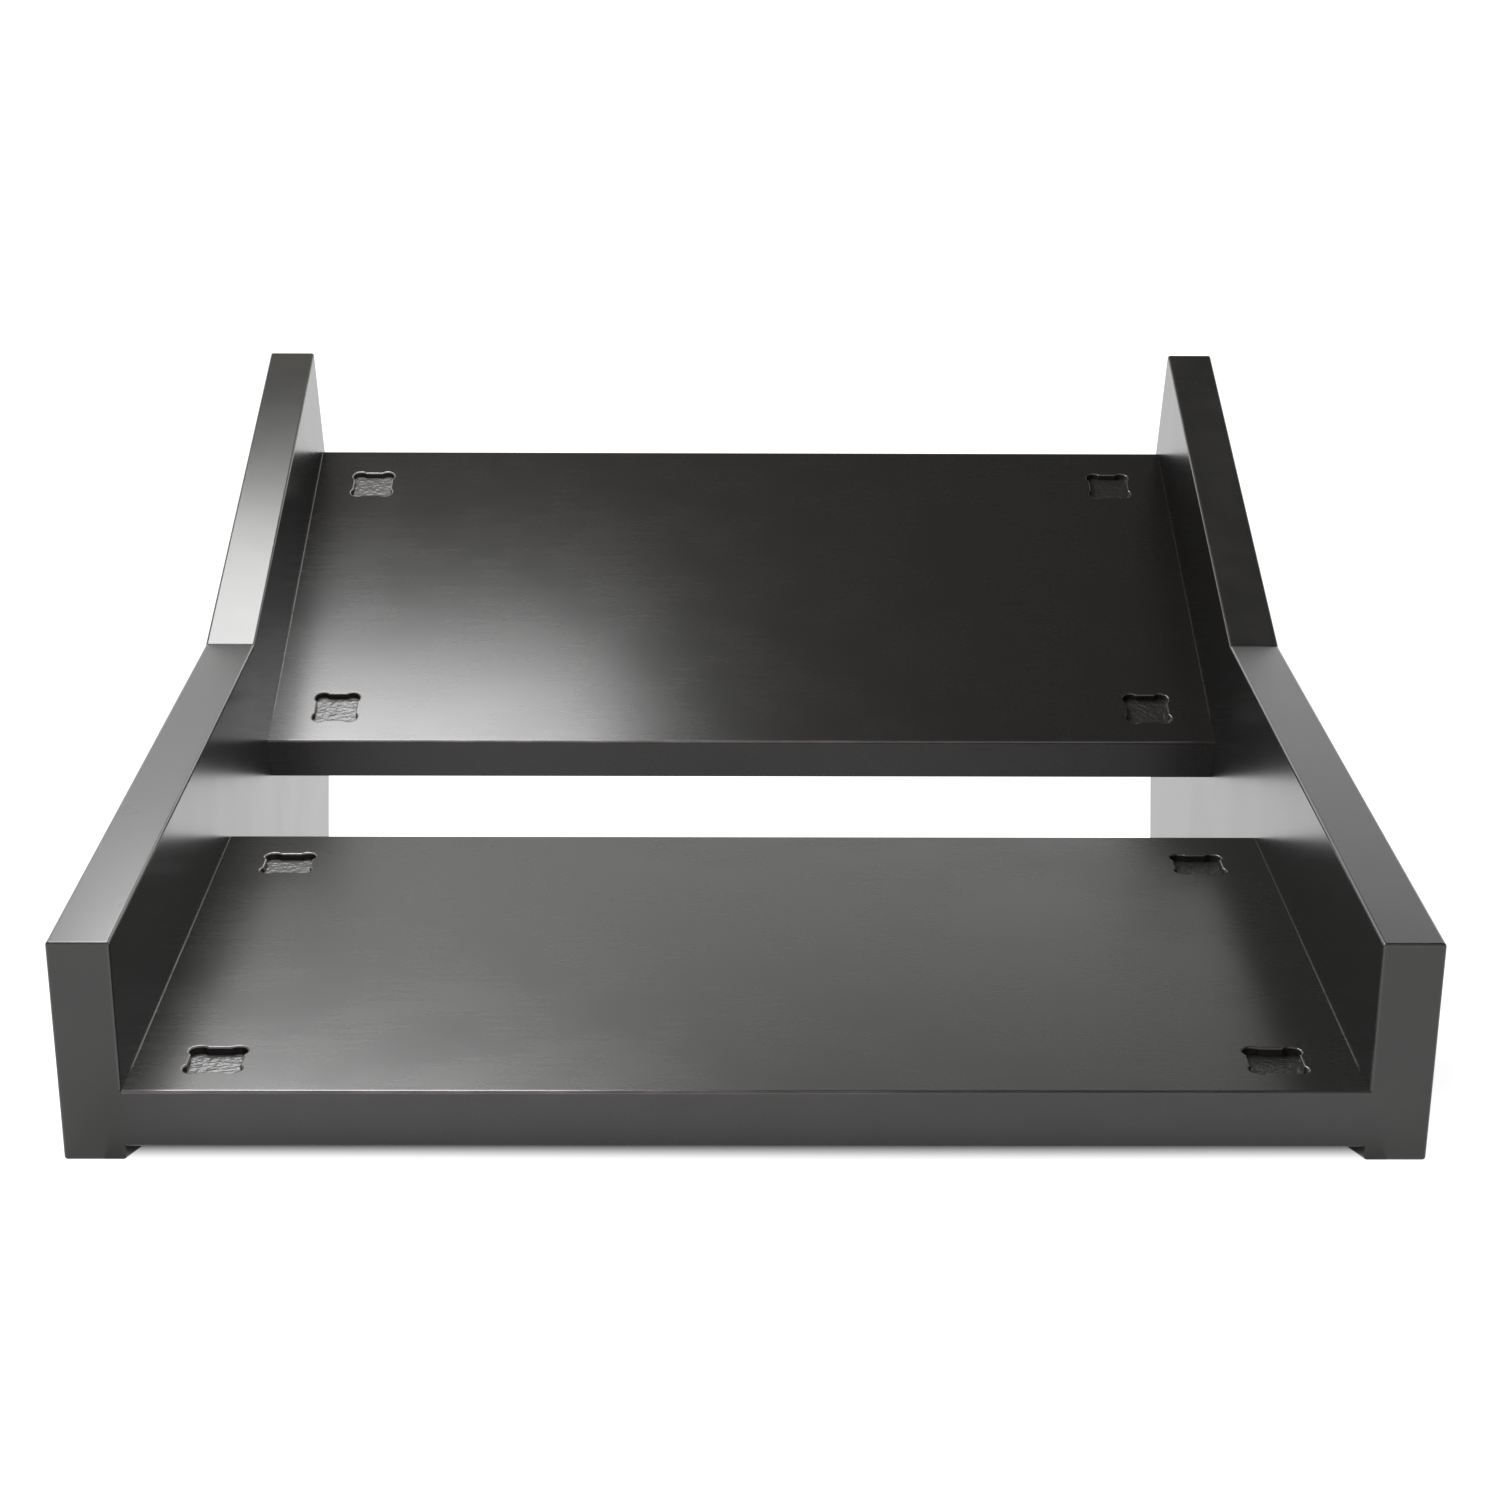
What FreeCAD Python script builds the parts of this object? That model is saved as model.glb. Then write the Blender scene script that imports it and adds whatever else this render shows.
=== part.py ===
import FreeCAD, Part
import math
import os

import Sketcher
from FreeCAD import Placement, Rotation, Vector

# Two-tier desktop stand for two small synthesizers, in lacquered 18 mm fibreboard.
# Millimetres, +Z up, +Y to the back. The origin is on the desk, under the middle of the stand.
# Two mirrored side panels stand on the desk. The two shelves between them lean towards the player,
# the upper one more steeply, and the panels' top edges follow them with a bend between.
# Each butt joint between a shelf end and a panel holds a row of glued wooden dowels.

DRIVING_SIZES = (
    ("board_thickness", 18, "all four boards"),
    ("inner_width", 357, "clear width between the side panels"),
    ("shelf_depth", 190, "front edge to back edge of either shelf"),
    ("lower_tilt", 20, "degrees between the lower shelf and the desk"),
    ("upper_tilt", 40, "degrees between the upper shelf and the desk"),
    ("underside_gap", 4, "front foot of a panel to the underside of the lower shelf, square to the shelf"),
    ("lip_height", 46.5, "panel edge above a shelf, square to the shelf"),
    ("bend_depth", 260, "front face to the bend in a panel's top edge, along the lower shelf"),
    ("bend_radius", 3, "router radius left in the bend"),
    ("slope_length", 195, "bend to the top rear corner of a panel"),
    ("rear_end_width", 69, "rear end of a panel, square to its slope, down to the upright rear edge"),
    ("edge_radius", 1, "easing of the boards' arrises"),
    ("pocket_side", 15.5, "square pocket for a rubber foot"),
    ("pocket_depth", 2.5, "floor of a foot pocket below the shelf"),
    ("cutter_radius", 3, "router cutter that relieves the pocket corners"),
    ("rim_radius", 0.6, "easing of a pocket's rim"),
    ("foot_pitch_across", 310, "pocket centres, left to right"),
    ("foot_pitch_along", 146, "pocket centres, front to back"),
    ("front_foot_inset", 20, "shelf front edge to the front pocket centres"),
    ("dowel_diameter", 7.9, "beech dowel"),
    ("dowel_length", 30, "beech dowel"),
    ("dowel_chamfer", 1, "bevel on a dowel's ends"),
    ("dowel_in_panel", 11, "length of a dowel inside the side panel"),
    ("dowel_count", 3, "dowels in one joint"),
    ("front_dowel_inset", 40, "shelf front edge to the first dowel"),
    ("dowel_pitch", 55, "between dowels, front to back"),
    ("glue_gap", 0.15, "glue film round a dowel"),
    ("hole_spare", 1, "empty length at the end of a dowel hole"),
)

DERIVED_SIZES = (
    ("lower_sine", "=sin(lower_tilt * 1 deg)"),
    ("lower_cosine", "=cos(lower_tilt * 1 deg)"),
    ("upper_sine", "=sin(upper_tilt * 1 deg)"),
    ("upper_cosine", "=cos(upper_tilt * 1 deg)"),
    ("lower_top", "=underside_gap + board_thickness"),
    ("front_width", "=lower_top + lip_height"),
    ("bend_back", "=bend_depth * lower_cosine - front_width * lower_sine"),
    ("bend_up", "=bend_depth * lower_sine + front_width * lower_cosine"),
    ("rear_back", "=bend_back + slope_length * upper_cosine + rear_end_width * upper_sine"),
    ("front_overhang", "=front_width * lower_sine - edge_radius * (lower_sine + lower_cosine - 1)"),
    ("foot_to_middle", "=(rear_back - front_overhang) / 2"),
    ("lower_shelf_back", "=0 - lower_top * lower_sine"),
    ("lower_shelf_up", "=lower_top * lower_cosine"),
    ("upper_shelf_back", "=bend_back + lip_height * upper_sine"),
    ("upper_shelf_up", "=bend_up - lip_height * upper_cosine"),
    ("relief_offset", "=pocket_side / 2 - cutter_radius * sqrt(0.5)"),
)

SIDES = (("left", -1), ("right", 1))
LEVELS = ("lower", "upper")

NAME_COLUMN = "A"
VALUE_COLUMN = "B"
NOTE_COLUMN = "C"

# How a sketch names the ends of a line or arc, the centre of a circle, and its own origin and axes.
START, END, CENTRE = range(1, 4)
ORIGIN, UP_AXIS = range(-1, -3, -1)
ACROSS_AXIS = ORIGIN

TOUCH = 1e-4

doc = FreeCAD.newDocument("synthesizer_stand")
sheet = doc.addObject("Spreadsheet::Sheet", "Sizes")


def fill_sheet():
    """Writes one row for each size: its name, its value or formula, and a note."""
    notes = [(name, str(value), note) for name, value, note in DRIVING_SIZES]
    notes += [(name, formula, "follows from the sizes above") for name, formula in DERIVED_SIZES]
    for row, (name, content, note) in enumerate(notes, 1):
        sheet.set(f"{NAME_COLUMN}{row}", name)
        sheet.set(f"{VALUE_COLUMN}{row}", content)
        sheet.set(f"{NOTE_COLUMN}{row}", note)
        sheet.setAlias(f"{VALUE_COLUMN}{row}", name)
    doc.recompute()


def size(name):
    """Current value of one size, as a plain number."""
    return float(sheet.get(name))


def new_body(label):
    """An empty body whose file takes its label."""
    body = doc.addObject("PartDesign::Body", label)
    body.Label = label
    return body


def new_sketch(body, name, role, offset=(), tilt=None):
    """A sketch on one of the body's own origin planes, shifted by expressions and turned by a named tilt."""
    sketch = body.newObject("Sketcher::SketchObject", name)
    plane = next(f for f in body.Origin.OriginFeatures if f.Role == role)
    sketch.AttachmentSupport = [(plane, "")]
    sketch.MapMode = "FlatFace"
    for axis, expression in zip("xyz", offset):
        sketch.setExpression(f"AttachmentOffset.Base.{axis}", expression)
    if tilt:
        sketch.setExpression("AttachmentOffset.Rotation.Angle", f"Sizes.{tilt} * 1 deg")
    return sketch


def add_outline(sketch, points):
    """A closed run of straight lines through the points, joined end to end."""
    corners = [Vector(x, y, 0) for x, y in points]
    following = corners[1:] + corners[:1]
    for here, there in zip(corners, following):
        sketch.addGeometry(Part.LineSegment(here, there))
    for line in range(len(corners)):
        after = (line + 1) % len(corners)
        sketch.addConstraint(Sketcher.Constraint("Coincident", line, END, after, START))


def drive(sketch, name, kind, *where, to):
    """Adds one named dimension to a sketch and binds it to the sheet."""
    value = sketch.evalExpression(to)
    index = sketch.addConstraint(Sketcher.Constraint(kind, *where, value))
    sketch.renameConstraint(index, name)
    sketch.setExpression(f"Constraints.{name}", to)


def extrude(body, kind, name, sketch, length, backwards=False):
    """Pad or Pocket of a sketch, to a length from the sheet."""
    feature = body.newObject(f"PartDesign::{kind}", name)
    feature.Profile = sketch
    feature.Reversed = backwards
    feature.setExpression("Length", length)
    doc.recompute()
    return feature


def ease(body, base, name, edges, radius):
    """Rounds the chosen edges of a feature to a radius from the sheet."""
    fillet = body.newObject("PartDesign::Fillet", name)
    fillet.Base = (base, edges)
    fillet.setExpression("Radius", radius)
    doc.recompute()
    return fillet


def edges_where(feature, wanted):
    """Names of a feature's edges that a test accepts."""
    return [f"Edge{n}" for n, edge in enumerate(feature.Shape.Edges, 1) if wanted(edge)]


def along_x(edge):
    """True for a straight edge that runs from left to right."""
    first, last = edge.firstVertex().Point, edge.lastVertex().Point
    return abs(first.y - last.y) < TOUCH and abs(first.z - last.z) < TOUCH


def dowel_row(body, feature, direction, name):
    """Repeats a dowel or a dowel hole along the depth of its shelf."""
    pattern = body.newObject("PartDesign::LinearPattern", name)
    pattern.Originals = [feature]
    pattern.Direction = direction
    pattern.setExpression("Length", "Sizes.dowel_pitch * (Sizes.dowel_count - 1)")
    pattern.setExpression("Occurrences", "Sizes.dowel_count")
    body.Tip = pattern
    doc.recompute()


def dowel_holes(body, name, offset, depth, backwards, tilt=None):
    """A row of blind dowel holes, drilled from a plane square to the stand's width.

    The sketch starts at the middle of the shelf's front edge and runs back along the shelf.
    """
    sketch = new_sketch(body, f"{name}_sketch", "YZ_Plane", offset, tilt)
    inset = size("front_dowel_inset")
    radius = size("dowel_diameter") / 2
    hole = sketch.addGeometry(Part.Circle(Vector(inset, 0, 0), Vector(0, 0, 1), radius))
    sketch.addConstraint(Sketcher.Constraint("PointOnObject", hole, CENTRE, ACROSS_AXIS))
    drive(sketch, "inset", "DistanceX", ORIGIN, START, hole, CENTRE, to="Sizes.front_dowel_inset")
    drive(sketch, "bore", "Radius", hole, to="Sizes.dowel_diameter / 2 + Sizes.glue_gap")
    drilled = extrude(body, "Pocket", name, sketch, depth, backwards)
    dowel_row(body, drilled, (sketch, ["H_Axis"]), f"{name}_row")


def panel_outline(body):
    """Side view of a panel, from its front foot over the two slopes and down to the desk.

    Its front end is square to the lower slope, its rear end square to the upper slope, and the edge
    below that rear end is upright.
    """
    lower = math.radians(size("lower_tilt"))
    upper = math.radians(size("upper_tilt"))
    up_lower = Vector(math.cos(lower), math.sin(lower), 0)
    off_lower = Vector(-math.sin(lower), math.cos(lower), 0)
    up_upper = Vector(math.cos(upper), math.sin(upper), 0)
    off_upper = Vector(-math.sin(upper), math.cos(upper), 0)
    radius = size("bend_radius")
    setback = radius * math.tan((upper - lower) / 2)
    foot = Vector(0, 0, 0)
    front_top = foot + off_lower * size("front_width")
    bend_corner = front_top + up_lower * size("bend_depth")
    rear_top = bend_corner + up_upper * size("slope_length")
    shoulder = rear_top - off_upper * size("rear_end_width")
    heel = Vector(shoulder.x, 0, 0)
    lower_stop = bend_corner - up_lower * setback
    upper_start = bend_corner + up_upper * setback
    bend_circle = Part.Circle(lower_stop + off_lower * radius, Vector(0, 0, 1), radius)

    sketch = new_sketch(body, "outline", "YZ_Plane")
    front = sketch.addGeometry(Part.LineSegment(foot, front_top))
    lower_edge = sketch.addGeometry(Part.LineSegment(front_top, lower_stop))
    arc = sketch.addGeometry(Part.ArcOfCircle(bend_circle, lower - math.pi / 2, upper - math.pi / 2))
    upper_edge = sketch.addGeometry(Part.LineSegment(upper_start, rear_top))
    rear_end = sketch.addGeometry(Part.LineSegment(rear_top, shoulder))
    rear = sketch.addGeometry(Part.LineSegment(shoulder, heel))
    base = sketch.addGeometry(Part.LineSegment(heel, foot))
    corner = sketch.addGeometry(Part.Point(bend_corner), True)
    for constraint in (
        ("Coincident", front, END, lower_edge, START),
        ("Tangent", lower_edge, END, arc, START),
        ("Tangent", arc, END, upper_edge, START),
        ("Coincident", upper_edge, END, rear_end, START),
        ("Coincident", rear_end, END, rear, START),
        ("Coincident", rear, END, base, START),
        ("Coincident", base, END, front, START),
        ("Coincident", front, START, ORIGIN, START),
        ("Perpendicular", front, lower_edge),
        ("Perpendicular", upper_edge, rear_end),
        ("Vertical", rear),
        ("Horizontal", base),
        ("PointOnObject", corner, START, lower_edge),
        ("PointOnObject", corner, START, upper_edge),
    ):
        sketch.addConstraint(Sketcher.Constraint(*constraint))
    drive(sketch, "front_width", "Distance", front, START, front, END, to="Sizes.front_width")
    drive(sketch, "bend_depth", "Distance", front, END, corner, START, to="Sizes.bend_depth")
    drive(sketch, "bend_radius", "Radius", arc, to="Sizes.bend_radius")
    drive(sketch, "slope_length", "Distance", corner, START, upper_edge, END, to="Sizes.slope_length")
    drive(sketch, "rear_end_width", "Distance", rear_end, START, rear_end, END, to="Sizes.rear_end_width")
    drive(sketch, "lower_tilt", "Angle", lower_edge, to="Sizes.lower_tilt * 1 deg")
    drive(sketch, "upper_tilt", "Angle", upper_edge, to="Sizes.upper_tilt * 1 deg")
    return sketch


def side_panel(label, outward):
    """One side panel, standing outwards from its inner face. outward is +1 on the right, -1 on the left.

    Every arris is eased, except where the lower shelf's end continues the front face.
    """
    body = new_body(label)
    to_left = outward < 0
    board = extrude(body, "Pad", "board", panel_outline(body), "Sizes.board_thickness", to_left)
    bend_corner = Vector(0, size("bend_back"), size("bend_up"))
    near_bend = size("bend_radius")

    def sharp(edge):
        middle = edge.CenterOfMass
        off_bend = Vector(0, middle.y, middle.z) - bend_corner
        return not (along_x(edge) and off_bend.Length < near_bend)

    ease(body, board, "eased_arrises", edges_where(board, sharp), "Sizes.edge_radius")

    shelf_foot = (
        "0 - Sizes.underside_gap * Sizes.lower_sine",
        "Sizes.underside_gap * Sizes.lower_cosine",
        "0",
    )
    sketch = new_sketch(body, "shelf_end_sketch", "YZ_Plane", shelf_foot, "lower_tilt")
    depth = size("edge_radius")
    thickness = size("board_thickness")
    add_outline(sketch, ((0, 0), (depth, 0), (depth, thickness), (0, thickness)))
    for constraint in (
        ("Coincident", 0, START, ORIGIN, START),
        ("Horizontal", 0),
        ("Vertical", 1),
        ("Horizontal", 2),
        ("Vertical", 3),
    ):
        sketch.addConstraint(Sketcher.Constraint(*constraint))
    drive(sketch, "depth", "DistanceX", 0, START, 0, END, to="Sizes.edge_radius")
    drive(sketch, "height", "DistanceY", 1, START, 1, END, to="Sizes.board_thickness")
    extrude(body, "Pad", "square_at_shelf_end", sketch, "Sizes.edge_radius", to_left)

    into_panel = "Sizes.dowel_in_panel + Sizes.hole_spare"
    for level in LEVELS:
        shelf_middle = (
            f"Sizes.{level}_shelf_back + Sizes.board_thickness / 2 * Sizes.{level}_sine",
            f"Sizes.{level}_shelf_up - Sizes.board_thickness / 2 * Sizes.{level}_cosine",
            "0",
        )
        dowel_holes(body, f"{level}_dowel_hole", shelf_middle, into_panel, not to_left, f"{level}_tilt")
    body.setExpression("Placement.Base.x", f"{outward} * Sizes.inner_width / 2")
    body.setExpression("Placement.Base.y", "0 - Sizes.foot_to_middle")
    return body


def seat_on_stand(body, level):
    """Puts a body drawn in a shelf's own frame, whose origin is the middle of its top front edge."""
    body.Placement = Placement(Vector(0, 0, 0), Rotation(Vector(1, 0, 0), size(f"{level}_tilt")))
    body.setExpression("Placement.Base.y", f"Sizes.{level}_shelf_back - Sizes.foot_to_middle")
    body.setExpression("Placement.Base.z", f"Sizes.{level}_shelf_up")
    body.setExpression("Placement.Rotation.Angle", f"Sizes.{level}_tilt * 1 deg")


def foot_pockets(body):
    """Four square pockets with round reliefs in their corners, so that a square foot drops in.

    Each relief passes through its corner of the square, as a router cutter leaves it.
    """
    centre = ("Sizes.foot_pitch_across / 2", "Sizes.front_foot_inset", "0")
    square = new_sketch(body, "pocket_sketch", "XY_Plane", centre)
    half = size("pocket_side") / 2
    add_outline(square, ((-half, -half), (half, -half), (half, half), (-half, half)))
    for constraint in (
        ("Horizontal", 0),
        ("Vertical", 1),
        ("Horizontal", 2),
        ("Vertical", 3),
        ("Symmetric", 0, START, 2, START, ORIGIN, START),
        ("Equal", 0, 1),
    ):
        square.addConstraint(Sketcher.Constraint(*constraint))
    drive(square, "side", "DistanceX", 0, START, 0, END, to="Sizes.pocket_side")
    milled = extrude(body, "Pocket", "pocket", square, "Sizes.pocket_depth")

    reliefs = new_sketch(body, "relief_sketch", "XY_Plane", centre)
    offset = size("relief_offset")
    for x, y in ((offset, offset), (-offset, offset), (offset, -offset), (-offset, -offset)):
        reliefs.addGeometry(Part.Circle(Vector(x, y, 0), Vector(0, 0, 1), size("cutter_radius")))
    for constraint in (
        ("Symmetric", 0, CENTRE, 1, CENTRE, UP_AXIS),
        ("Symmetric", 0, CENTRE, 2, CENTRE, ACROSS_AXIS),
        ("Symmetric", 2, CENTRE, 3, CENTRE, UP_AXIS),
        ("Equal", 0, 1),
        ("Equal", 0, 2),
        ("Equal", 0, 3),
    ):
        reliefs.addConstraint(Sketcher.Constraint(*constraint))
    drive(reliefs, "across", "DistanceX", ORIGIN, START, 0, CENTRE, to="Sizes.relief_offset")
    drive(reliefs, "along", "DistanceY", ORIGIN, START, 0, CENTRE, to="Sizes.relief_offset")
    drive(reliefs, "cutter", "Radius", 0, to="Sizes.cutter_radius")
    relieved = extrude(body, "Pocket", "relief", reliefs, "Sizes.pocket_depth")

    pattern = body.newObject("PartDesign::LinearPattern", "four_pockets")
    pattern.Originals = [milled, relieved]
    pattern.Direction = (square, ["H_Axis"])
    pattern.Reversed = True
    pattern.Occurrences = 2
    pattern.setExpression("Length", "Sizes.foot_pitch_across")
    pattern.Direction2 = (square, ["V_Axis"])
    pattern.Occurrences2 = 2
    pattern.setExpression("Length2", "Sizes.foot_pitch_along")
    body.Tip = pattern
    doc.recompute()

    def on_rim(edge):
        on_top = all(abs(v.Z) < TOUCH for v in edge.Vertexes)
        return on_top and edge.Length < size("pocket_side")

    ease(body, pattern, "eased_rims", edges_where(pattern, on_rim), "Sizes.rim_radius")


def shelf(level):
    """The lower or upper shelf between the panels, with its long arrises eased and dowel holes in both ends."""
    body = new_body(f"{level}_shelf")
    sketch = new_sketch(body, "outline", "XY_Plane")
    half = size("inner_width") / 2
    depth = size("shelf_depth")
    add_outline(sketch, ((-half, 0), (half, 0), (half, depth), (-half, depth)))
    for constraint in (
        ("Symmetric", 0, START, 0, END, ORIGIN, START),
        ("Vertical", 1),
        ("Horizontal", 2),
        ("Vertical", 3),
        ("Horizontal", 0),
    ):
        sketch.addConstraint(Sketcher.Constraint(*constraint))
    drive(sketch, "width", "DistanceX", 0, START, 0, END, to="Sizes.inner_width")
    drive(sketch, "depth", "DistanceY", 1, START, 1, END, to="Sizes.shelf_depth")
    board = extrude(body, "Pad", "board", sketch, "Sizes.board_thickness", backwards=True)
    ease(body, board, "eased_arrises", edges_where(board, along_x), "Sizes.edge_radius")
    foot_pockets(body)
    into_shelf = "Sizes.dowel_length - Sizes.dowel_in_panel + Sizes.hole_spare"
    for side, outward in SIDES:
        middle = ("0", "-Sizes.board_thickness / 2", f"{outward} * Sizes.inner_width / 2")
        dowel_holes(body, f"{side}_dowel_hole", middle, into_shelf, outward < 0)
    seat_on_stand(body, level)
    return body


def dowels(level, side, outward):
    """The row of dowels in one joint, drawn in the shelf's own frame. Their ends are bevelled."""
    body = new_body(f"dowels_{level}_{side}")
    panel_end = "Sizes.inner_width / 2 + Sizes.dowel_in_panel"
    left_tip = f"{panel_end} - Sizes.dowel_length" if outward > 0 else f"-({panel_end})"
    tip = (left_tip, "Sizes.front_dowel_inset", "-Sizes.board_thickness / 2")
    sketch = new_sketch(body, "half_profile", "XY_Plane", tip)
    length = size("dowel_length")
    radius = size("dowel_diameter") / 2
    bevel = size("dowel_chamfer")
    shoulder = radius - bevel
    add_outline(
        sketch,
        ((0, 0), (length, 0), (length, shoulder), (length - bevel, radius), (bevel, radius), (0, shoulder)),
    )
    axis, far_end, far_bevel, barrel, near_bevel, near_end = range(6)
    for constraint in (
        ("Coincident", axis, START, ORIGIN, START),
        ("Horizontal", axis),
        ("Vertical", far_end),
        ("Horizontal", barrel),
        ("Vertical", near_end),
        ("Equal", near_end, far_end),
        ("Equal", near_bevel, far_bevel),
    ):
        sketch.addConstraint(Sketcher.Constraint(*constraint))
    drive(sketch, "length", "DistanceX", axis, START, axis, END, to="Sizes.dowel_length")
    drive(sketch, "radius", "DistanceY", axis, START, barrel, END, to="Sizes.dowel_diameter / 2")
    drive(sketch, "bevel", "DistanceX", axis, START, barrel, END, to="Sizes.dowel_chamfer")
    drive(sketch, "bevel_rise", "DistanceY", near_bevel, END, near_bevel, START, to="Sizes.dowel_chamfer")
    turned = body.newObject("PartDesign::Revolution", "dowel")
    turned.Profile = sketch
    turned.ReferenceAxis = (sketch, ["H_Axis"])
    doc.recompute()
    dowel_row(body, turned, (sketch, ["V_Axis"]), "dowel_row")
    seat_on_stand(body, level)
    return body


def check_model(sub_parts):
    """Stops if a feature failed, a cut removed nothing, or a sub-part isn't the solids it should be."""
    for item in doc.Objects:
        if "Invalid" in item.State or "Error" in item.State:
            raise RuntimeError(f"{item.Label} failed: {item.State}")
        if item.isDerivedFrom("PartDesign::Pocket"):
            if item.BaseFeature.Shape.Volume - item.Shape.Volume < TOUCH:
                raise RuntimeError(f"{item.Label} cuts nothing")
    for body, solids in sub_parts:
        if body.Shape.isNull() or not body.Shape.isValid():
            raise RuntimeError(f"{body.Label} has no valid shape")
        if len(body.Shape.Solids) != solids:
            raise RuntimeError(f"{body.Label} has {len(body.Shape.Solids)} solids")


def write_parts(sub_parts):
    """Writes each sub-part to its own file and prints its size."""
    os.makedirs("parts", exist_ok=True)
    for body, _ in sub_parts:
        body.Shape.exportStep(os.path.join("parts", f"{body.Label}.step"))
        box = body.Shape.BoundBox
        print(f"{body.Label}: {box.XLength:.2f} x {box.YLength:.2f} x {box.ZLength:.2f} mm")


fill_sheet()
parts = [(side_panel(f"{side}_side_panel", outward), 1) for side, outward in SIDES]
parts += [(shelf(level), 1) for level in LEVELS]
for level in LEVELS:
    for side, outward in SIDES:
        parts.append((dowels(level, side, outward), round(size("dowel_count"))))
doc.recompute()
check_model(parts)
write_parts(parts)
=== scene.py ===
import math

import bpy
import numpy as np
from mathutils import Matrix, Vector

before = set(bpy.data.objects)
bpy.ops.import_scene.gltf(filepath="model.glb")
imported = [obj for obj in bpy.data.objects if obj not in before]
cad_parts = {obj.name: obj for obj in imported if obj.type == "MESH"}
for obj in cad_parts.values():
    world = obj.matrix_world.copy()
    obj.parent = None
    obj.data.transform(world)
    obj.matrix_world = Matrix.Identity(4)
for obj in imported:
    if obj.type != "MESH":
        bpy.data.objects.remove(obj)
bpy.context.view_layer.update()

# Side panels: two mirrored boards of 18 mm fibreboard, routed to a bent outline with eased arrises.
# They are sprayed satin black: smooth on the faces, patchy on the thirsty routed edges and thin along the
# arrises. The lower slope of the top edge is coloured darker, a painted shade. The shelves are glued and
# dowelled between them.
LOWER_TILT = math.radians(20.0)
UPPER_TILT = math.radians(40.0)
SQUARE = math.pi / 2
TOP_EDGE_TILTS = (LOWER_TILT, UPPER_TILT)
END_TILTS = (LOWER_TILT + SQUARE, UPPER_TILT - SQUARE, -SQUARE)
BASE_TILT = math.pi
LACQUER_IOR = 1.6
PANEL_FACE = (0.0034, 0.0030, 0.0028, 1.0)
PANEL_EDGE_DARK = (0.0112, 0.0108, 0.0093, 1.0)
PANEL_EDGE_PALE = (0.0166, 0.0160, 0.0139, 1.0)
PANEL_LOW_SLOPE_PAINTED_SHADE = (0.0032, 0.0034, 0.0024, 1.0)
PANEL_ARRIS = (0.050, 0.045, 0.043, 1.0)
PANEL_ROUGHNESS = (0.272, 0.288)
FACE_SMOOTHER = 0.025
ARRIS_SMOOTHER = 0.13
FACE_TURN = (0.55, 0.9)
SHADED_SLOPE_TURN = (0.955, 0.985)
PANEL_ARRIS_TURN = (0.99, 0.94)
WEAR_PER_METRE = (45.0, 45.0, 45.0)
WEAR_RANGE = (0.35, 0.68)
WEAR_LEAST = 0.5
BLOTCHES_PER_METRE = (70.0, 70.0, 70.0)
BLOTCH_RANGE = (0.3, 0.7)
CLOUDS_PER_METRE = (28.0, 28.0, 28.0)
CLOUD_RANGE = (0.25, 0.75)
PEEL_PER_METRE = (300.0, 300.0, 300.0)
PEEL_DEPTH = 1e-6


def add_node(tree, kind, inputs=(), **settings):
    """One shader node of a kind, with its settings and its unlinked inputs as (name, value) pairs."""
    node = tree.nodes.new(kind)
    for name, value in settings.items():
        setattr(node, name, value)
    for name, value in inputs:
        node.inputs[name].default_value = value
    return node


def feed(tree, socket, value):
    """Links a socket to another node's output, or sets a plain value on it."""
    if isinstance(value, bpy.types.NodeSocket):
        tree.links.new(value, socket)
    else:
        socket.default_value = value


def maths(tree, operation, first, second=0.0):
    """One sum on two values, each a number or another node's output."""
    node = add_node(tree, "ShaderNodeMath", operation=operation)
    feed(tree, node.inputs[0], first)
    feed(tree, node.inputs[1], second)
    return node.outputs[0]


def ramp(tree, value, low, high, start=0.0, end=1.0, shape="SMOOTHSTEP"):
    """Goes from start at low to end at high, smoothly or straight, and stays level outside them."""
    node = add_node(tree, "ShaderNodeMapRange", interpolation_type=shape)
    feed(tree, node.inputs["Value"], value)
    for name, given in (("From Min", low), ("From Max", high), ("To Min", start), ("To Max", end)):
        node.inputs[name].default_value = given
    return node.outputs["Result"]


def share(tree, amount, change):
    """A share of a change, for an amount from 0 to 1, eased at both ends."""
    return ramp(tree, amount, 0.0, 1.0, 0.0, change)


def along(tree, vector, direction):
    """How far a vector reaches along a fixed direction."""
    node = add_node(tree, "ShaderNodeVectorMath", operation="DOT_PRODUCT")
    feed(tree, node.inputs[0], vector)
    node.inputs[1].default_value = direction
    return node.outputs["Value"]


def noise(tree, place, per_metre, detail):
    """Soft noise from 0 to 1, with its own number of lumps per metre along x, y and z."""
    stretch = add_node(tree, "ShaderNodeMapping", [("Scale", per_metre)])
    feed(tree, stretch.inputs["Vector"], place)
    node = add_node(tree, "ShaderNodeTexNoise", [("Scale", 1.0), ("Detail", detail)])
    feed(tree, node.inputs["Vector"], stretch.outputs["Vector"])
    return node.outputs[0]


def blend(tree, amount, first, second):
    """Mix of two colours by an amount from 0 to 1. The node takes colours at 6 and 7 and gives one at 2."""
    node = add_node(tree, "ShaderNodeMix", data_type="RGBA")
    feed(tree, node.inputs[0], amount)
    feed(tree, node.inputs[6], first)
    feed(tree, node.inputs[7], second)
    return node.outputs[2]


def relief(tree, height, depth):
    """Bump of a height map, whose 0 to 1 stands for a depth in metres."""
    node = add_node(tree, "ShaderNodeBump", [("Strength", 1.0), ("Distance", depth)])
    feed(tree, node.inputs["Height"], height)
    return node.outputs["Normal"]


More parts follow.
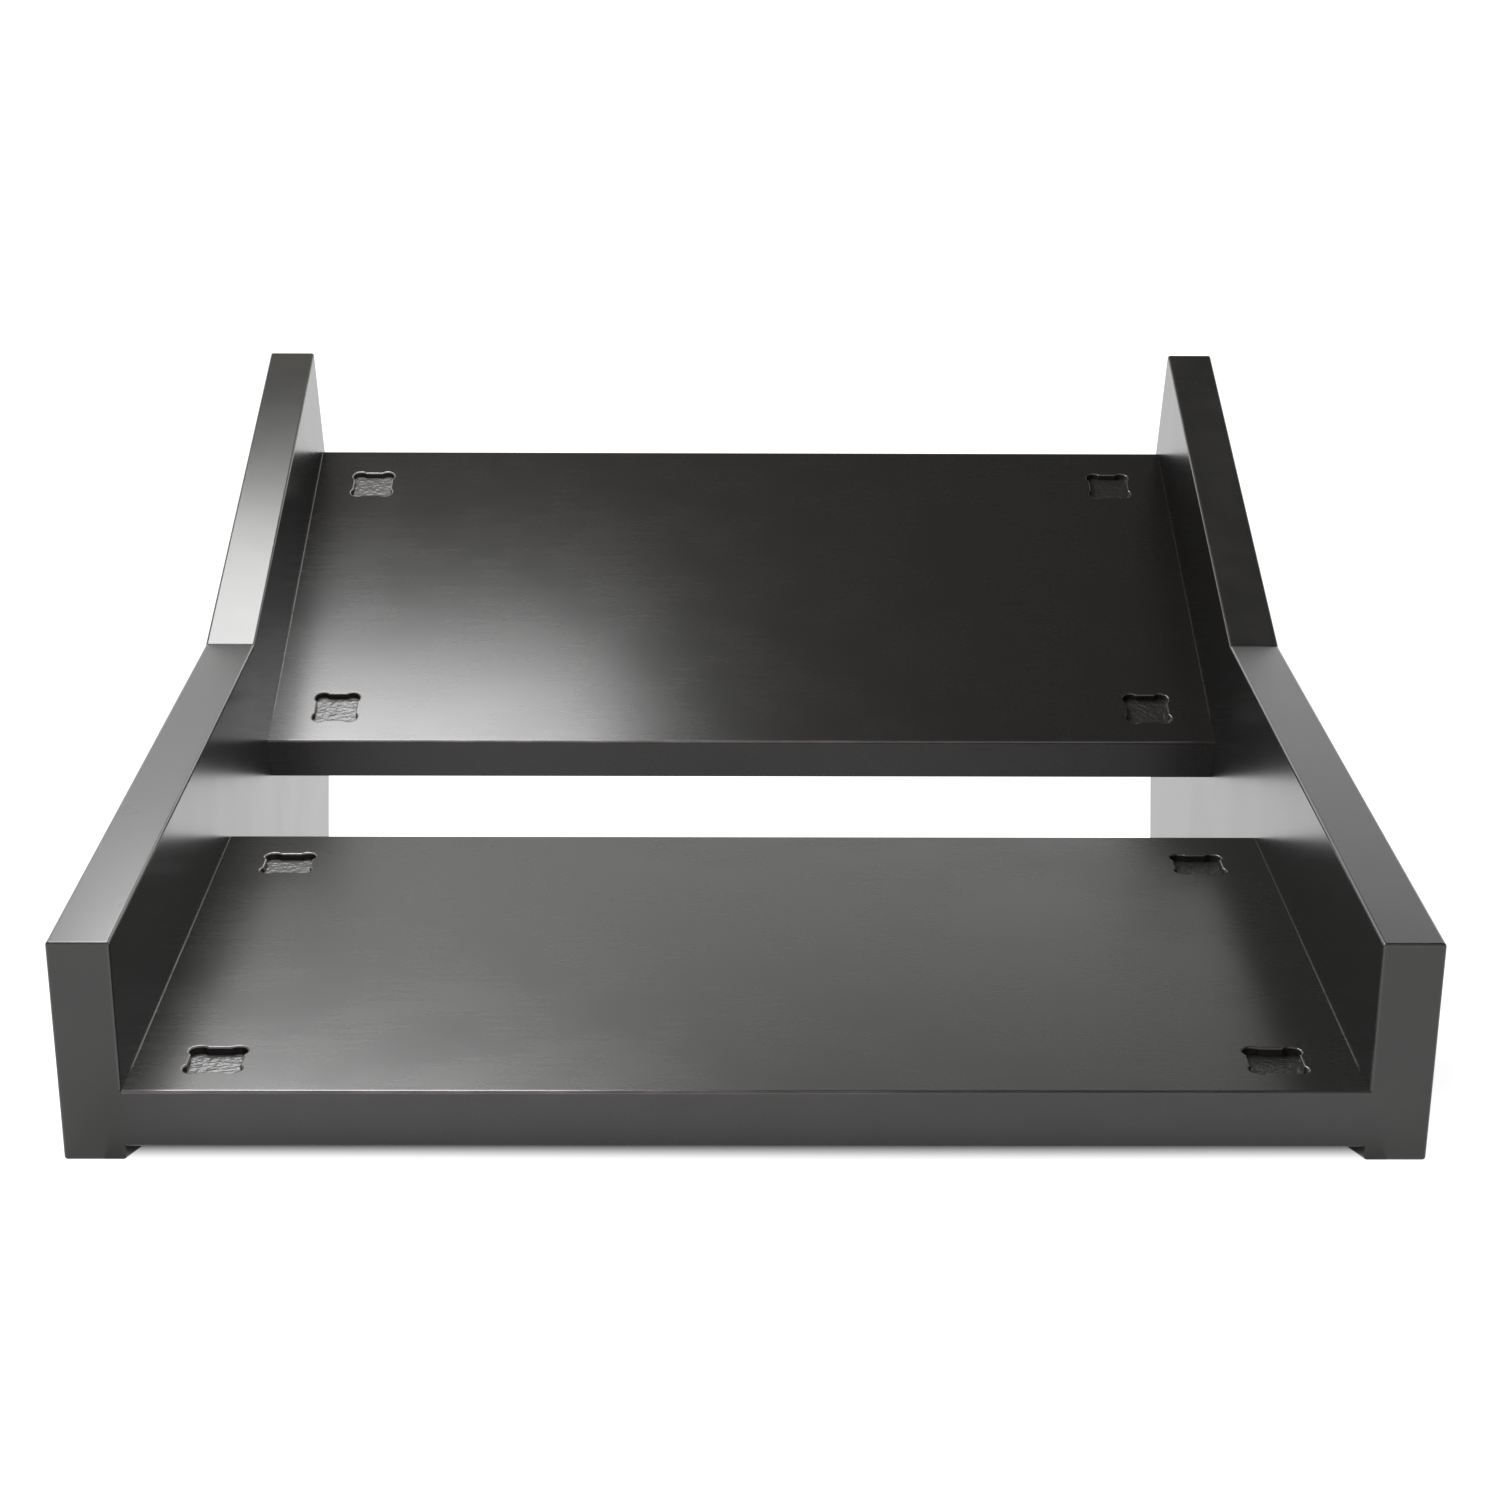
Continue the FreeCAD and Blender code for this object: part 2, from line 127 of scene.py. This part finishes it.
def new_finish(name):
    """An empty material with one Principled shader, returned with its tree, shader, place and normal."""
    material = bpy.data.materials.new(name)
    material.use_nodes = True
    tree = material.node_tree
    tree.nodes.clear()
    output = tree.nodes.new("ShaderNodeOutputMaterial")
    shader = add_node(tree, "ShaderNodeBsdfPrincipled", [("IOR", LACQUER_IOR)])
    tree.links.new(shader.outputs["BSDF"], output.inputs["Surface"])
    place = tree.nodes.new("ShaderNodeTexCoord")
    return material, tree, shader, place.outputs["Object"], place.outputs["Normal"]


def tilted_normal(tilt):
    """The direction that points straight up, tipped towards the front by a tilt."""
    return (0.0, -math.sin(tilt), math.cos(tilt))


def wear_patches(tree, place):
    """Patches of weaker and stronger wear."""
    return ramp(tree, noise(tree, place, WEAR_PER_METRE, detail=4.0), *WEAR_RANGE, WEAR_LEAST, 1.0)


def thirsty_edge(tree, place, dark, pale):
    """Colour of a routed edge, blotchy because it soaks up the lacquer unevenly."""
    blotches = noise(tree, place, BLOTCHES_PER_METRE, detail=5.0)
    return blend(tree, ramp(tree, blotches, *BLOTCH_RANGE), dark, pale)


def cloudy_roughness(tree, place, smoothest, roughest):
    """Roughness that drifts between two values in soft clouds."""
    return ramp(tree, noise(tree, place, CLOUDS_PER_METRE, detail=4.0), *CLOUD_RANGE, smoothest, roughest)


def dress(node_name, material):
    """Gives a carried-over board or dowel row its finish."""
    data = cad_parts[node_name].data
    data.materials.clear()
    data.materials.append(material)


panel_lacquer, tree, shader, place, normal = new_finish("panel_lacquer")
sideways = maths(tree, "ABSOLUTE", along(tree, normal, (1.0, 0.0, 0.0)))
face = ramp(tree, sideways, *FACE_TURN)
# Painted shade: a darker colour for the lower slope of the top edge.
painted_shade_slope = ramp(tree, along(tree, normal, tilted_normal(LOWER_TILT)), *SHADED_SLOPE_TURN)
flatness = sideways
for tilt in (*TOP_EDGE_TILTS, *END_TILTS, BASE_TILT):
    flatness = maths(tree, "MAXIMUM", flatness, along(tree, normal, tilted_normal(tilt)))
arris = ramp(tree, flatness, *PANEL_ARRIS_TURN)
arris_tint = maths(tree, "MULTIPLY", arris, wear_patches(tree, place))

edge_colour = thirsty_edge(tree, place, PANEL_EDGE_DARK, PANEL_EDGE_PALE)
# Painted shade on the lower slope of the top edge.
edge_colour = blend(tree, painted_shade_slope, edge_colour, PANEL_LOW_SLOPE_PAINTED_SHADE)
board_colour = blend(tree, face, edge_colour, PANEL_FACE)
feed(tree, shader.inputs["Base Color"], blend(tree, arris_tint, board_colour, PANEL_ARRIS))
roughness = cloudy_roughness(tree, place, *PANEL_ROUGHNESS)
roughness = maths(tree, "ADD", roughness, share(tree, face, -FACE_SMOOTHER))
roughness = maths(tree, "ADD", roughness, share(tree, arris, -ARRIS_SMOOTHER))
feed(tree, shader.inputs["Roughness"], roughness)
peel = noise(tree, place, PEEL_PER_METRE, detail=1.0)
feed(tree, shader.inputs["Normal"], relief(tree, peel, PEEL_DEPTH))
for panel in ("left_side_panel", "right_side_panel"):
    dress(panel, panel_lacquer)

# Shelves: two like boards of the same fibreboard, each with four square pockets milled for rubber feet.
# The black lacquer is rubbed from side to side, thin on arrises and lumpy on the pocket floors. The arrises
# get a pale colour, partly wear in patches and partly a painted highlight, and the pocket rims a full
# painted highlight; pocket floors are paler too, partly bare milled board and partly painted light. All of
# these are strongest on the left, where the key light falls, and fade to the right. A pale seam of bare
# board shows where a shelf's end is glued to a panel.
SHELF_EDGE_DARK = (0.0125, 0.0101, 0.0101, 1.0)
SHELF_EDGE_PALE = (0.0185, 0.0152, 0.0152, 1.0)
SHELF_WEAR_AND_HIGHLIGHT = (0.180, 0.156, 0.150, 1.0)
SHELF_SEAM = (0.27, 0.25, 0.23, 1.0)
POCKET_FLOOR_AND_PAINTED_LIGHT = (0.050, 0.047, 0.046, 1.0)
SHELVES = (
    ("lower", LOWER_TILT, (0.0074, 0.0074, 0.0054, 1.0), 0.4),
    ("upper", UPPER_TILT, (0.0080, 0.0072, 0.0064, 1.0), 0.12),
)
SHELF_ROUGHNESS = (0.255, 0.285)
RUBS_PER_METRE = (26.0, 430.0, 430.0)
RUB_RANGE = (0.3, 0.7)
RUB_ROUGHNESS = 0.005
BOARD_TURN = (0.35, 0.8)
SHELF_ARRIS_START = (0.1, 0.3)
SHELF_ARRIS_END = (0.99, 0.95)
ARRIS_REACH = 0.004
ARRIS_FADED = 0.005
LEFT_TO_RIGHT = (-0.1, 0.1)
RIGHT_PAINTED_LIGHT = 0.14
POCKET_TURN = (0.4, 0.7)
POCKET_HEIGHT = (-0.0012, -0.0018)
POCKET_ROUGHER = 0.10
LUMPS_PER_METRE = (480.0, 620.0, 620.0)
LUMP_DEPTH = 6e-4
SEAM_WIDTH = 0.00035
SEAM_PALEST = 0.7
SEAM_TURN = (0.9, 0.97)
SEAM_START = (0.012, 0.020)
SEAM_FADE = (0.03, 0.16)
SEAM_FADED = 0.4
SEAM_RAGS_PER_METRE = (260.0, 260.0, 260.0)
SEAM_RAG_RANGE = (0.15, 0.45)
SEAM_ROUGHER = 0.4


def board_seat(node_name, tilt):
    """Middle of a tilted board's front top edge, with the board's half width and depth up the slope."""
    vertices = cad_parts[node_name].data.vertices
    points = np.empty(3 * len(vertices))
    vertices.foreach_get("co", points)
    points = points.reshape(-1, 3)
    upslope = np.array((0.0, math.cos(tilt), math.sin(tilt)))
    upright = np.array(tilted_normal(tilt))
    reaches = points @ upslope
    seat = upslope * reaches.min() + upright * (points @ upright).max()
    return seat.tolist(), points[:, 0].max(), np.ptp(reaches)


for level, tilt, shelf_face, right_seam in SHELVES:
    seat, half_width, depth = board_seat(f"{level}_shelf", tilt)
    lacquer, tree, shader, place, normal = new_finish(f"{level}_shelf_lacquer")
    turned = add_node(tree, "ShaderNodeMapping", [("Location", seat), ("Rotation", (tilt, 0.0, 0.0))])
    turned.vector_type = "TEXTURE"
    feed(tree, turned.inputs["Vector"], place)
    on_shelf = turned.outputs["Vector"]
    split = tree.nodes.new("ShaderNodeSeparateXYZ")
    feed(tree, split.inputs[0], on_shelf)
    across, uphill, height = split.outputs
    upward = along(tree, normal, tilted_normal(tilt))
    levelness = maths(tree, "ABSOLUTE", upward)
    flat = ramp(tree, levelness, *BOARD_TURN)
    sunk = maths(tree, "MULTIPLY", ramp(tree, upward, *POCKET_TURN), ramp(tree, height, *POCKET_HEIGHT))

    off_side = ramp(tree, levelness, *SHELF_ARRIS_START)
    arris = maths(tree, "MULTIPLY", off_side, ramp(tree, levelness, *SHELF_ARRIS_END))
    past_front = ramp(tree, uphill, ARRIS_REACH, ARRIS_FADED)
    before_back = ramp(tree, uphill, depth - ARRIS_REACH, depth - ARRIS_FADED)
    rim = maths(tree, "MULTIPLY", past_front, before_back)
    # Painted light: strongest on the left, where the key light falls, and faint on the right.
    painted_left_light = ramp(tree, across, *LEFT_TO_RIGHT, 1.0, RIGHT_PAINTED_LIGHT)
    # Pale arrises: wear in patches, and a painted highlight all along the pocket rims.
    arris_tint = maths(tree, "MULTIPLY", arris, maths(tree, "MAXIMUM", wear_patches(tree, on_shelf), rim))
    arris_tint = maths(tree, "MULTIPLY", arris_tint, painted_left_light)

    aside = maths(tree, "ABSOLUTE", across)
    seam = ramp(tree, aside, half_width - SEAM_WIDTH, half_width - SEAM_PALEST * SEAM_WIDTH)
    for part in (
        ramp(tree, uphill, *SEAM_START),
        ramp(tree, uphill, *SEAM_FADE, 1.0, SEAM_FADED),
        ramp(tree, noise(tree, on_shelf, SEAM_RAGS_PER_METRE, detail=3.0), *SEAM_RAG_RANGE),
        ramp(tree, upward, *SEAM_TURN),
        ramp(tree, across, *LEFT_TO_RIGHT, 1.0, right_seam),
    ):
        seam = maths(tree, "MULTIPLY", seam, part)

    edge_colour = thirsty_edge(tree, place, SHELF_EDGE_DARK, SHELF_EDGE_PALE)
    board_colour = blend(tree, flat, edge_colour, shelf_face)
    # Pocket floors paler: bare milled board, and painted light where the left fade is strong.
    milled_and_lit_colour = blend(tree, maths(tree, "MULTIPLY", sunk, painted_left_light), board_colour, POCKET_FLOOR_AND_PAINTED_LIGHT)
    # Pale arrises and rims: wear and painted highlight.
    wear_and_highlight_colour = blend(tree, arris_tint, milled_and_lit_colour, SHELF_WEAR_AND_HIGHLIGHT)
    feed(tree, shader.inputs["Base Color"], blend(tree, seam, wear_and_highlight_colour, SHELF_SEAM))
    roughness = cloudy_roughness(tree, on_shelf, *SHELF_ROUGHNESS)
    rubbed = noise(tree, on_shelf, RUBS_PER_METRE, detail=1.0)
    for change in (
        ramp(tree, rubbed, *RUB_RANGE, -RUB_ROUGHNESS, RUB_ROUGHNESS),
        share(tree, arris, -ARRIS_SMOOTHER),
        share(tree, sunk, POCKET_ROUGHER),
        share(tree, seam, SEAM_ROUGHER),
    ):
        roughness = maths(tree, "ADD", roughness, change)
    feed(tree, shader.inputs["Roughness"], roughness)
    lumps = maths(tree, "MULTIPLY", noise(tree, on_shelf, LUMPS_PER_METRE, detail=2.0), sunk)
    feed(tree, shader.inputs["Normal"], relief(tree, lumps, LUMP_DEPTH))
    dress(f"{level}_shelf", lacquer)

# Dowels: beech pins glued into the ends of the shelves and the inner faces of the panels.
# They are hidden once the stand is glued up. The grain runs along each pin.
BEECH_PALE = (0.50, 0.33, 0.18, 1.0)
BEECH_DARK = (0.33, 0.19, 0.09, 1.0)
BEECH_ROUGHNESS = (0.5, 0.68)
GRAIN_PER_METRE = (35.0, 900.0, 900.0)
GRAIN_COLOUR_RANGE = (0.35, 0.7)
GRAIN_ROUGHNESS_RANGE = (0.3, 0.7)
GRAIN_DEPTH = 4e-5
beech, tree, shader, place, normal = new_finish("beech")
grain = noise(tree, place, GRAIN_PER_METRE, detail=4.0)
beech_colour = blend(tree, ramp(tree, grain, *GRAIN_COLOUR_RANGE), BEECH_PALE, BEECH_DARK)
feed(tree, shader.inputs["Base Color"], beech_colour)
feed(tree, shader.inputs["Roughness"], ramp(tree, grain, *GRAIN_ROUGHNESS_RANGE, *BEECH_ROUGHNESS))
feed(tree, shader.inputs["Normal"], relief(tree, grain, GRAIN_DEPTH))
for level in ("lower", "upper"):
    for side in ("left", "right"):
        dress(f"dowels_{level}_{side}", beech)

# Floor: a wide sweep of white paper under the stand, real enough to keep its soft shadow.
# To the camera and in the gloss it shows white, as a lit backdrop would. Its glow has painted shade: grey
# in a pool under the stand, and dark in the corners there by ambient occlusion, but not in front of the
# stand or beside its panels.
FLOOR_REACH = 14.0
FLOOR_PAPER = (0.35, 0.35, 0.35, 1.0)
PAINTED_POOL_PLACE = (0.05, 0.05, 0.0)
PAINTED_POOL_START = 0.06
PAINTED_POOL_END = 0.30
FAR_OFF = 1.5
SHOWN_IN_PAINTED_POOL = 0.47
SHOWN_NEAR = 1.05
SHOWN_FAR = 1.4
CORNER_SHADE_REACH = 0.12
FRONT_SHADE = (-0.212, -0.174)
FRONT_SHADE_SHIFT = 0.012
SIDE_SHADE_END = 0.185
floor_mesh = bpy.data.meshes.new("floor")
corners = [(-FLOOR_REACH, -FLOOR_REACH, 0), (FLOOR_REACH, -FLOOR_REACH, 0)]
corners += [(FLOOR_REACH, FLOOR_REACH, 0), (-FLOOR_REACH, FLOOR_REACH, 0)]
floor_mesh.from_pydata(corners, [], [(0, 1, 2, 3)])
floor = bpy.data.objects.new("floor", floor_mesh)
bpy.context.scene.collection.objects.link(floor)

paper = bpy.data.materials.new("floor_paper")
paper.use_nodes = True
tree = paper.node_tree
tree.nodes.clear()
place = tree.nodes.new("ShaderNodeTexCoord").outputs["Object"]
split = tree.nodes.new("ShaderNodeSeparateXYZ")
feed(tree, split.inputs[0], place)
distance = add_node(tree, "ShaderNodeVectorMath", operation="DISTANCE")
feed(tree, distance.inputs[0], place)
distance.inputs[1].default_value = PAINTED_POOL_PLACE
away = distance.outputs["Value"]
# Painted shade: a grey pool in the glow under the stand, set off to its right.
painted_shade_pool = ramp(tree, away, PAINTED_POOL_START, PAINTED_POOL_END, SHOWN_IN_PAINTED_POOL / SHOWN_NEAR, 1.0)
shown = maths(tree, "MULTIPLY", ramp(tree, away, PAINTED_POOL_END, FAR_OFF, SHOWN_NEAR, SHOWN_FAR), painted_shade_pool)

# The camera sees the shade begin a little further back than the gloss does.
path = tree.nodes.new("ShaderNodeLightPath")
shift = maths(tree, "MULTIPLY", path.outputs["Is Camera Ray"], -FRONT_SHADE_SHIFT)
in_front = ramp(tree, maths(tree, "ADD", split.outputs["Y"], shift), *FRONT_SHADE, 1.0, 0.0)
beside = maths(tree, "GREATER_THAN", maths(tree, "ABSOLUTE", split.outputs["X"]), SIDE_SHADE_END)
# Painted shade: ambient occlusion darkens the glow in the corners under the stand.
corner_shade_occlusion = add_node(tree, "ShaderNodeAmbientOcclusion", [("Distance", CORNER_SHADE_REACH)])
# Where this is below 1 the glow carries painted shade.
clear = maths(tree, "MAXIMUM", corner_shade_occlusion.outputs["AO"], maths(tree, "MAXIMUM", in_front, beside))
seen = maths(tree, "MAXIMUM", path.outputs["Is Camera Ray"], path.outputs["Is Glossy Ray"])
seen = maths(tree, "MAXIMUM", seen, path.outputs["Is Transmission Ray"])

matt = add_node(tree, "ShaderNodeBsdfDiffuse", [("Color", FLOOR_PAPER)])
glow = tree.nodes.new("ShaderNodeEmission")
glow_strength = maths(tree, "MULTIPLY", seen, maths(tree, "MULTIPLY", clear, shown))
feed(tree, glow.inputs["Strength"], glow_strength)
both = tree.nodes.new("ShaderNodeAddShader")
feed(tree, both.inputs[0], matt.outputs[0])
feed(tree, both.inputs[1], glow.outputs[0])
paper_output = tree.nodes.new("ShaderNodeOutputMaterial")
feed(tree, paper_output.inputs["Surface"], both.outputs[0])
floor_mesh.materials.append(paper)

# Surround: a white backdrop that stands high behind the stand and sinks towards its front, under a dark
# room that is paler in front. The lower shelf mirrors the backdrop's head, and the upper one the dark.
# Light that has met two surfaces is weakened, by a share fitted to the photograph's double reflections.
BACKDROP_FOOT = 1.4
BACKDROP_HEAD = 1.68
BACKDROP_LEAN = math.radians(20.0)
BACKDROP_TOP = math.radians(22.5)
ROOM_START = math.radians(26.5)
ROOM_DARK = 0.12
ROOM_FRONT = 0.5
ROOM_FRONT_RISE = math.radians(20.0)
ROOM_FRONT_RANGE = (0.5, 0.95)
CROSSED_GLOSS = 0.28
MET_ONE_SURFACE = 2.0
MET_TWO_SURFACES = 3.0
WHITE = (1.0, 1.0, 1.0, 1.0)
surround = bpy.data.worlds.new("surround")
bpy.context.scene.world = surround
surround.use_nodes = True
tree = surround.node_tree
tree.nodes.clear()
direction = tree.nodes.new("ShaderNodeTexCoord").outputs["Generated"]
height = along(tree, direction, tilted_normal(BACKDROP_LEAN))
backdrop = ramp(tree, height, 0.0, math.sin(BACKDROP_TOP), BACKDROP_FOOT, BACKDROP_HEAD, "LINEAR")
darkest = ROOM_DARK / BACKDROP_HEAD
fade = ramp(tree, height, math.sin(BACKDROP_TOP), math.sin(ROOM_START), 1.0, darkest)
forwards = along(tree, direction, (0.0, -math.cos(ROOM_FRONT_RISE), math.sin(ROOM_FRONT_RISE)))
room_front = ramp(tree, forwards, *ROOM_FRONT_RANGE, 0.0, ROOM_FRONT)
strength = maths(tree, "ADD", maths(tree, "MULTIPLY", backdrop, fade), room_front)

# The world isn't sampled as a lamp, so each ray that reaches it carries its own count of surfaces.
surround.cycles.sampling_method = "NONE"
ray_depth = tree.nodes.new("ShaderNodeLightPath").outputs["Ray Depth"]
crossed = ramp(tree, ray_depth, MET_ONE_SURFACE, MET_TWO_SURFACES, 1.0, CROSSED_GLOSS, "LINEAR")
light = add_node(tree, "ShaderNodeBackground", [("Color", WHITE)])
feed(tree, light.inputs["Strength"], maths(tree, "MULTIPLY", strength, crossed))
surround_output = tree.nodes.new("ShaderNodeOutputWorld")
feed(tree, surround_output.inputs["Surface"], light.outputs[0])

# Key light: one soft box over the left half of the stand, longer from front to back than across.
# It lays the bright patch on the left of the upper shelf, and the camera doesn't see it.
KEY_PLACE = Vector((-0.1885, -0.0590, 0.5264))
KEY_AIM = Vector((-0.0131, -0.1111, 0.0840))
KEY_LENGTH = 0.426
KEY_WIDTH = 0.250
KEY_RADIANCE = 11.86
key_lamp = bpy.data.lights.new("key", "AREA")
key_lamp.shape = "RECTANGLE"
key_lamp.size = KEY_LENGTH
key_lamp.size_y = KEY_WIDTH
key_lamp.energy = KEY_RADIANCE * math.pi * KEY_LENGTH * KEY_WIDTH
key = bpy.data.objects.new("key", key_lamp)
bpy.context.scene.collection.objects.link(key)
beam = (KEY_AIM - KEY_PLACE).normalized()
key_across = beam.cross(Vector((0, -1, 0))).normalized()
key_along = beam.cross(key_across)
key_axes = Matrix((key_along, key_across, -beam)).transposed()
key.matrix_world = Matrix.Translation(KEY_PLACE) @ key_axes.to_4x4()
key.visible_camera = False

# Camera: in front of the stand and level with its middle, looking at the shelves that lean towards it.
# Its place and lens were fitted to the stand's corners in the photograph.
EYE = Vector((-0.00594, -1.00790, 0.13013))
LENS_MM = 67.706
SENSOR_MM = 36.0
LOOK_DOWN = math.radians(0.840)
TURN_RIGHT = math.radians(0.477)
LEAN = math.radians(0.106)
camera_data = bpy.data.cameras.new("camera")
camera_data.lens = LENS_MM
camera_data.sensor_width = SENSOR_MM
camera_data.sensor_fit = "HORIZONTAL"
camera = bpy.data.objects.new("camera", camera_data)
bpy.context.scene.collection.objects.link(camera)
level_look = Matrix.Rotation(math.pi / 2 - LOOK_DOWN, 4, "X")
turn = Matrix.Rotation(-TURN_RIGHT, 4, "Z")
lean = Matrix.Rotation(LEAN, 4, "Z")
camera.matrix_world = Matrix.Translation(EYE) @ turn @ level_look @ lean
bpy.context.scene.camera = camera
bpy.context.scene.view_settings.view_transform = "Standard"
